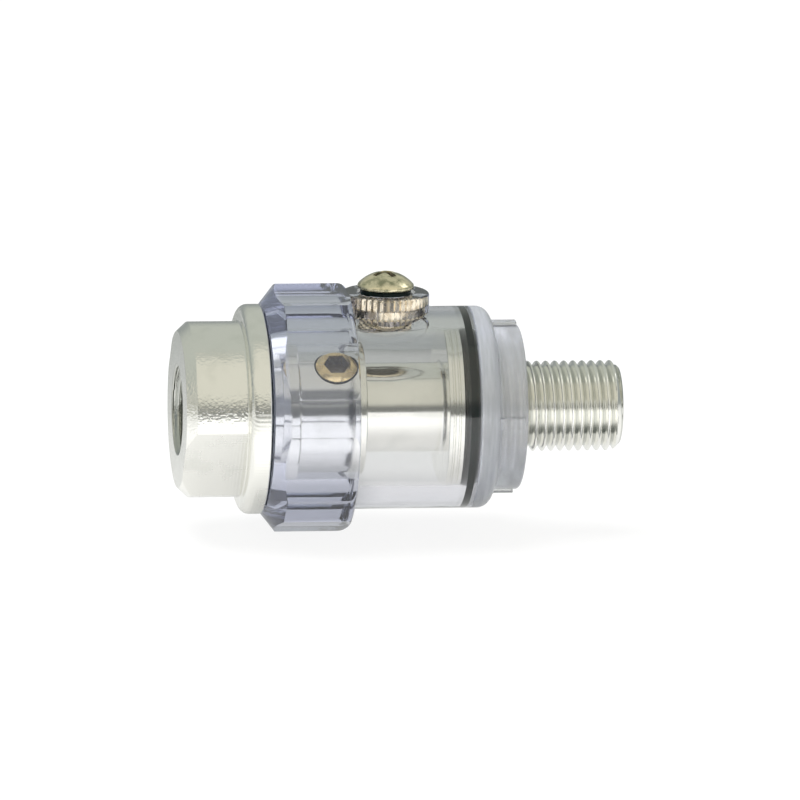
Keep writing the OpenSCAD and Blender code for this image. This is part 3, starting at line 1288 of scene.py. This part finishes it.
@dataclass
class Bowl:
    """The clear bowl: fluted collar, oil chamber, boss, closed end and threaded hub."""

    lip_x: float = 12.15
    mouth_r: float = 15.25
    cone: float = 2.3
    collar_r: float = 18.14
    collar_x: float = 24.65
    collar_edge: float = 1.1
    flats: int = 7
    flat_deep: float = 0.8
    flat_turn: float = 5.8
    wall_r: float = 14.7
    end_x: float = 45.6
    end_edge: float = 1.9
    hub_r: float = 12.05
    hub_x: float = 49.8
    ring_r: float = 9.0
    ring_x: float = 50.1
    ribs: int = 4
    rib_w: float = 1.75
    rib_h: float = 0.7
    rib_len: float = 3.8
    rib_root: Span = (0.5, 1.5)
    rib_edge: float = 0.12
    bore_r: float = 11.5
    floor_x: float = 43.3
    rebate_r: float = 14.5
    rebate_x: float = 12.9
    boss_r: float = 6.35
    boss_low: float = 12.2
    boss_z: float = 17.2
    boss_edge: float = 0.35
    boss_start: float = 2.0
    sink_r: float = 4.3
    sink_z: float = 16.7
    hole_r: float = 2.6
    hole_low: float = 8.0
    grip_r: float = 3.2
    grip_low: float = 14.0
    hole_high: float = 19.0
    start_r: float = 8.0
    sharp: float = 12.5
    mesh_step: float = 0.9
    boss_step: float = 0.7
    boss_samples: int = 120
    hole_samples: int = 96
    samples: int = 196
    tap: Thread = Thread(1.337, 5.78, 6.64)

    def outside(self) -> bpy.types.Object:
        """The turned outside with the collar's flats, the boss and the ribs."""
        loft = Loft(AIR, even_turns(self.samples))
        line: list[Corner] = [
            (self.lip_x, self.start_r, 0),
            (self.lip_x, self.mouth_r, 0.12),
            (self.lip_x + self.cone, self.collar_r, 0.2),
            (self.collar_x, self.collar_r, self.collar_edge),
            (self.collar_x, self.wall_r, 0.35),
            (self.end_x, self.wall_r, self.end_edge),
            (self.end_x, self.hub_r, 0.25),
            (self.hub_x, self.hub_r, 0.4),
            (self.hub_x, self.ring_r, 0.1),
            (self.ring_x, self.ring_r, 0.12),
            (self.ring_x, self.start_r / 2, 0),
        ]
        loft.profile(finer(rounded(line, 9), self.mesh_step))
        body = loft.build("bowl_visual", hollow=False)
        for k in range(self.flats):
            turn = self.flat_turn + 360 * k / self.flats
            mill_flat(body, self.lip_x - 1, self.collar_x + 1, self.collar_r - self.flat_deep, turn)
        combine(body, self.boss(), Joining.ADD)
        for k in range(self.ribs):
            combine(body, self.rib(360 * k / self.ribs), Joining.ADD)
        return body

    def rib(self, angle: float) -> bpy.types.Object:
        """One rib of the hub, rooted in the hub and the closed end, facing an angle in degrees."""
        back, down = self.rib_root
        block = turned_box(self.hub_r - down, self.hub_r + self.rib_h, self.rib_w, angle)
        made = prism(AIR, self.end_x - back, self.end_x + self.rib_len, lambda reach: block)
        soften(made, self.rib_edge)
        return made

    def boss(self) -> bpy.types.Object:
        """The filler boss as a solid that reaches into the wall."""
        loft = Loft(FILLER, even_turns(self.boss_samples))
        line: list[Corner] = [
            (self.boss_low, self.boss_start, 0),
            (self.boss_low, self.boss_r, 0),
            (self.boss_z, self.boss_r, self.boss_edge),
            (self.boss_z, self.boss_start, 0),
        ]
        loft.profile(finer(rounded(line, 6), self.boss_step))
        return loft.build("boss", hollow=False)

    def inside(self) -> bpy.types.Object:
        """The rebate, the oil chamber and the hub's thread as one solid."""
        loft = Loft(AIR, even_turns(self.samples))
        line: list[Corner] = [
            (self.lip_x - 1, self.start_r, 0),
            (self.lip_x - 1, self.rebate_r, 0),
            (self.rebate_x, self.rebate_r, 0.1),
            (self.rebate_x, self.bore_r, 0.1),
            (self.floor_x, self.bore_r, 0.5),
            (self.floor_x, self.tap.crest + 0.3, 0),
        ]
        loft.profile(finer(rounded(line, 6), self.mesh_step))
        for reach in np.arange(self.floor_x + 0.1, self.ring_x + 0.3, self.tap.pitch / 12):
            loft.ring(reach, self.tap.radius(reach, loft.turns))
        return loft.build("inside", hollow=False)

    def filler_hole(self) -> bpy.types.Object:
        """The recess in the boss, and a hole narrower than the insert that the plastic holds."""
        loft = Loft(FILLER, even_turns(self.hole_samples))
        steps = (
            (self.hole_r, self.hole_low, self.grip_low),
            (self.grip_r, self.grip_low, self.sink_z),
            (self.sink_r, self.sink_z, self.hole_high),
        )
        for radius, low, high in steps:
            loft.profile([(low, radius), (high, radius)])
        return loft.build("filler_hole", hollow=False)

    def is_thread(self, at: Vector) -> bool:
        """True on the hub's thread."""
        return math.hypot(at.y, at.z) < self.tap.crest + 0.1 and at.x > self.floor_x + 0.2

    def build(self) -> bpy.types.Object:
        """Makes the bowl."""
        made = self.outside()
        combine(made, self.inside(), Joining.CUT)
        combine(made, self.filler_hole(), Joining.CUT)
        polish(made, self.sharp, self.is_thread)
        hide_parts("bowl")
        return dress(made, CLEAR, Body.BOWL)


@dataclass
class Seals:
    """The four black seals."""

    steps: int = 120
    squeeze: float = 0.02
    collar_gap: float = 0.05
    collar_mid: Span = (12.5, 12.4)
    end_half: float = 1.0
    end_round: float = 0.62
    filler_bore: float = 2.6
    filler_mid: Span = (3.1, 3.0)

    def collar(self) -> bpy.types.Object:
        """Flat ring between flange and bowl, pressed into the bowl's rebate."""
        low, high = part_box("collar_seal")
        a, b = low.x / MM, high.x / MM + self.squeeze
        outer = Bowl.rebate_r + self.squeeze
        inner = CoreBody.guide_r + self.collar_gap
        line = [
            (a, self.collar_mid[0], 0),
            (a, outer, 0.15),
            (b, outer, 0.05),
            (b, inner, 0.2),
            (a, inner, 0.2),
            (a, self.collar_mid[1], 0),
        ]
        return self.ring(AIR, line, "collar_seal", Body.COLLAR_RING)

    def end(self) -> bpy.types.Object:
        """O-ring pressed flat on the bowl's inner wall and on its seat."""
        low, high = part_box("end_seal")
        middle = (low.x + high.x) / 2 / MM
        outer, inner = Bowl.bore_r + self.squeeze, CoreBody.seat_r
        line = [
            (middle, outer, 0),
            (middle + self.end_half, outer, self.end_round),
            (middle + self.end_half, inner, self.end_round),
            (middle - self.end_half, inner, self.end_round),
            (middle - self.end_half, outer, self.end_round),
            (middle - 0.01, outer, 0),
        ]
        return self.ring(AIR, line, "end_seal", Body.CORE)

    def filler(self) -> bpy.types.Object:
        """Ring under the filler screw's head, bulged by the screw."""
        low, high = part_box("filler_seal")
        a, b = low.z / MM, high.z / MM
        outer = (high.x - low.x) / 2 / MM
        line = [
            (a, self.filler_mid[0], 0),
            (a, outer, 0.4),
            (b, outer, 0.4),
            (b, self.filler_bore, 0.15),
            (a, self.filler_bore, 0.15),
            (a, self.filler_mid[1], 0),
        ]
        return self.ring(FILLER, line, "filler_seal", Body.FILLER_RING)

    def ring(self, axis: Axis, line: Sequence[Corner], node: str, body: Body) -> bpy.types.Object:
        """Builds one ring in place of a CAD node.

        Args:
            axis: The ring's axis.
            line: Corners of its section.
            node: The CAD node that it replaces.
            body: The body that it rides.

        Returns:
            The piece.
        """
        loft = Loft(axis, even_turns(self.steps))
        loft.profile(rounded(line, 8))
        made = loft.build(node + "_visual", hollow=True)
        polish(made)
        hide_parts(node)
        return dress(made, RUBBER, body)

    def build(self) -> list[bpy.types.Object]:
        """Makes three rings and dresses the small one, which is hidden at rest."""
        small = dress(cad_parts["metering_seal"], RUBBER)
        return [self.collar(), self.end(), self.filler(), small]


@dataclass
class FillerInsert:
    """The knurled brass bush, held all round by the plastic."""

    low: float = 12.3
    high: float = 16.7
    root: float = 3.6
    tip: float = 3.9
    bore_r: float = 2.55
    mouth_r: float = 2.9
    mouth_deep: float = 0.35
    low_band: Span = (0.2, 1.5)
    high_band: Span = (1.65, 0.15)
    lead: float = 0.1
    teeth: int = 30
    samples: int = 8
    sharp: float = 30.0

    def build(self) -> bpy.types.Object:
        """Makes the bush with two knurled bands and a plain waist."""
        turns = even_turns(self.teeth * self.samples)
        ridge = np.abs(((turns * self.teeth / TURN) % 1.0) * 2 - 1)
        knurl = self.root + (self.tip - self.root) * ridge
        loft = Loft(FILLER, turns)
        loft.profile([(self.low, self.bore_r), (self.low, self.root - 2 * self.lead)])
        bands = (
            (self.low + self.low_band[0], self.low + self.low_band[1]),
            (self.high - self.high_band[0], self.high - self.high_band[1]),
        )
        for a, b in bands:
            loft.ring(a - self.lead, self.root)
            loft.ring(a + self.lead, knurl)
            loft.ring(b - self.lead, knurl)
            loft.ring(b + self.lead, self.root)
        loft.profile([(self.high, self.root - self.lead), (self.high, self.mouth_r)])
        loft.ring(self.high - self.mouth_deep, self.bore_r)
        made = loft.build("filler_insert_visual", hollow=True)
        polish(made, self.sharp)
        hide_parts("filler_insert")
        return dress(made, INSERT_BRASS, Body.BOWL)


@dataclass
class FillerScrew:
    """The domed cross-recess screw that closes the filler hole."""

    tip: float = 11.9
    point_r: float = 1.7
    neck_r: Span = (2.3, 2.45)
    neck_len: float = 0.3
    under: float = 17.8
    under_r: Span = (3.9, 4.05)
    under_edge: Span = (0.06, 0.18)
    rim: float = 18.3
    apex: float = 20.2
    head: float = 4.1
    dome_rings: int = 18
    thread: Thread = Thread(0.8, 2.05, 2.5)
    cross_len: float = 4.6
    cross_w: float = 0.95
    cross_deep: float = 1.5
    cross_turn: float = 28.0
    cross_taper: Span = (0.62, 0.8)
    sharp: float = 32.0
    samples: int = 72

    def ball(self) -> float:
        """Radius of the dome's ball."""
        rise = self.apex - self.rim
        return (self.head**2 + rise**2) / (2 * rise)

    def cross(self, reach: float) -> list[Span]:
        """Outline of the tapered cross at a reach.

        Args:
            reach: Distance along the screw's axis in millimetres.

        Returns:
            Corners of the cross.
        """
        share = (reach - (self.apex - self.cross_deep)) / self.cross_deep
        long, wide = (
            size / 2 * (foot + (1 - foot) * share)
            for size, foot in zip((self.cross_len, self.cross_w), self.cross_taper)
        )
        arm = [(long, -wide), (long, wide), (wide, wide)]
        corners: list[Span] = []
        for k in range(4):
            angle = math.radians(self.cross_turn + 90 * k)
            c, s = math.cos(angle), math.sin(angle)
            corners += [(u * c - v * s, u * s + v * c) for u, v in arm]
        return corners

    def finish(self) -> Brass:
        """Bronzed plating, with painted shade in the cross."""
        recess = Recess(FILLER, self.apex, self.cross_len / 2 + 0.1, self.ball())
        return Brass("bronzed_finish", (0.88, 0.80, 0.57), (0.24, 0.26, 0.16), 0.15, 0.8, recess)

    def shank(self, loft: Loft) -> None:
        """Adds the rings of the point, the thread and the neck."""
        loft.ring(self.tip, self.point_r)
        for reach in np.arange(self.tip + 0.08, self.under - 0.5, self.thread.pitch / 8):
            radius = self.thread.radius(reach, loft.turns)
            loft.ring(reach, np.minimum(radius, self.point_r + 0.05 + (reach - self.tip)))
        loft.profile([(self.under - self.neck_len, self.neck_r[0]), (self.under, self.neck_r[1])])

    def dome(self, loft: Loft) -> None:
        """Adds the rings of the head, from its underside to the apex."""
        loft.ring(self.under, self.under_r[0])
        loft.ring(self.under + self.under_edge[0], self.under_r[1])
        loft.ring(self.under + self.under_edge[1], self.head)
        loft.ring(self.rim - 0.1, self.head)
        ball = self.ball()
        edge = math.asin(self.head / ball)
        for share in np.linspace(0.985, 0.02, self.dome_rings):
            reach = self.apex - ball + ball * math.cos(edge * share)
            loft.ring(reach, ball * math.sin(edge * share))

    def build(self) -> bpy.types.Object:
        """Makes the screw with its thread, dome and cross."""
        loft = Loft(FILLER, even_turns(self.samples))
        self.shank(loft)
        self.dome(loft)
        made = loft.build("filler_screw_visual", hollow=False)
        tool = prism(FILLER, self.apex - self.cross_deep, self.apex + 0.2, self.cross)
        combine(made, tool, Joining.CUT)
        polish(made, self.sharp)
        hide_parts("filler_screw")
        return dress(made, self.finish(), Body.FILLER_SCREW)


@dataclass
class Studio:
    """Camera, pale floor with painted light and shade in reflections, a glowing card for a painted
    reflection, and soft light.
    """

    picture: float = 800.0
    sensor: float = 36.0
    yaw: float = 8.2
    rise: float = 12.07
    roll: float = 1.14
    scale: float = 6.877
    distance: float = 2000.0
    aim: Corner = (32.0, 0.0, 0.0)
    aim_pixel: Span = (395.5, 407.3)
    floor_z: float = -18.3
    floor_half: float = 6000.0
    card_x: Span = (70.0, 160.0)
    card_y: float = -150.0
    card_z: Span = (-18.0, 75.0)
    sky_front: Colour = (0.72, 0.71, 0.62)
    sky_back: Colour = (0.30, 0.325, 0.32)
    sky_top: Colour = (0.50, 0.525, 0.475)
    sky_dark: Colour = (0.12, 0.13, 0.13)
    window: Colour = (1.7, 1.7, 1.62)
    window_way: Corner = (0.706, 0.227, 0.672)
    lamp_at: Corner = (-0.25, 0.15, 1.1)
    lamp_size: float = 0.9
    lamp_power: float = 22.0

    def camera(self) -> None:
        """Sets the camera at the photo's angle, so that the aim falls on its pixel."""
        yaw, rise, roll = (math.radians(a) for a in (self.yaw, self.rise, self.roll))
        look = Vector(
            (math.sin(yaw) * math.cos(rise), math.cos(yaw) * math.cos(rise), -math.sin(rise))
        )
        right = Vector((math.cos(yaw), -math.sin(yaw), 0))
        up = right.cross(look)
        side = right * math.cos(roll) + up * math.sin(roll)
        top = up * math.cos(roll) - right * math.sin(roll)
        off_x, off_y = ((self.picture / 2 - pixel) / self.scale for pixel in self.aim_pixel)
        centre = Vector(self.aim) + side * off_x - top * off_y
        lens = bpy.data.cameras.new("camera")
        lens.sensor_width = self.sensor
        lens.lens = self.scale * self.distance * self.sensor / self.picture
        lens.clip_start, lens.clip_end = 0.05, 50.0
        eye = bpy.data.objects.new("camera", lens)
        bpy.context.scene.collection.objects.link(eye)
        turn = Matrix((side, top, -look)).transposed().to_4x4()
        eye.matrix_world = Matrix.Translation((centre - look * self.distance) * MM) @ turn
        bpy.context.scene.camera = eye

    def sheet(self, name: str, corners: Sequence[Corner], finish: Finish) -> bpy.types.Object:
        """Makes a flat sheet of the stage.

        Args:
            name: Name of the sheet.
            corners: Its four corners in millimetres.
            finish: Its finish.

        Returns:
            The sheet.
        """
        made = as_object(name, [Vector(corner) * MM for corner in corners], [(0, 1, 2, 3)])
        made.data.materials.append(finish.material())
        return made

    def floor(self) -> None:
        """Lays a pale floor that keeps a soft shadow, and shows painted light and shade to what mirrors
        or bends it.
        """
        z, half = self.floor_z, self.floor_half
        corners = [(-half, -half, z), (half, -half, z), (half, half, z), (-half, half, z)]
        self.sheet("floor", corners, FloorPaper("floor_paper"))

    def card(self) -> None:
        """Stands a glowing card in front of the outlet, a painted reflection which only bare metal there
        mirrors.
        """
        (left, right), y, (low, high) = self.card_x, self.card_y, self.card_z
        corners = [(left, y, low), (right, y, low), (right, y, high), (left, y, high)]
        made = self.sheet("outlet_card", corners, GlowingCard("glowing_card"))
        made.visible_camera = made.visible_diffuse = made.visible_shadow = False
        made.visible_transmission = False

    def sky(self) -> None:
        """Surrounds the object with a grey back, a dim front, a warm grey top and a window."""
        world = bpy.data.worlds.new("studio")
        world.use_nodes = True
        bpy.context.scene.world = world
        graph = Graph(world.node_tree)
        way = graph.wire("ShaderNodeTexCoord", out="Generated")
        height, depth = way.part("Z"), way.part("Y")
        front = (-depth).step(-0.15, 0.35)
        back = graph.blend(height.step(0.1, 0.5), self.sky_back, self.sky_top)
        high = graph.blend(front, back, self.sky_front)
        dim = (1 - height.step(0.16, 0.40)) * (-depth).step(0.1, 0.6)
        seam = height.step(0.90, 0.97) * (1 - (depth + 0.05).size().step(0.015, 0.05))
        dark = graph.blend(dim * 0.82 + seam * 0.4, high, self.sky_dark)
        window = graph.vector("DOT_PRODUCT", way, self.window_way, "Value").step(0.968, 0.988)
        shade = graph.blend(window, dark, self.window)
        light = graph.wire("ShaderNodeBackground", inputs={"Color": shade, "Strength": 1.0})
        graph.node("ShaderNodeOutputWorld", inputs={"Surface": light})

    def lamp(self) -> None:
        """Hangs one wide soft lamp above."""
        light = bpy.data.lights.new("soft_lamp", "AREA")
        light.shape = "DISK"
        light.size = self.lamp_size
        light.energy = self.lamp_power
        made = bpy.data.objects.new("soft_lamp", light)
        bpy.context.scene.collection.objects.link(made)
        made.location = self.lamp_at
        made.rotation_euler = made.location.to_track_quat("Z", "Y").to_euler()
        made.visible_glossy = False
        made.visible_transmission = False

    def build(self) -> None:
        """Builds camera, floor, card, sky and lamp."""
        self.camera()
        self.floor()
        self.card()
        self.sky()
        self.lamp()
        bpy.context.scene.view_settings.view_transform = "Standard"


def main() -> None:
    """Builds the studio and every piece, and reports each."""
    logging.basicConfig(level=logging.INFO, format="%(message)s")
    Studio().build()
    pieces = [CoreBody().build(), Bowl().build(), *Seals().build()]
    pieces += [FillerInsert().build(), FillerScrew().build(), MeteringScrew().build()]
    for piece in pieces:
        log.info("%s: %d faces", piece.name, len(piece.data.polygons))


if __name__ == "__main__":
    main()
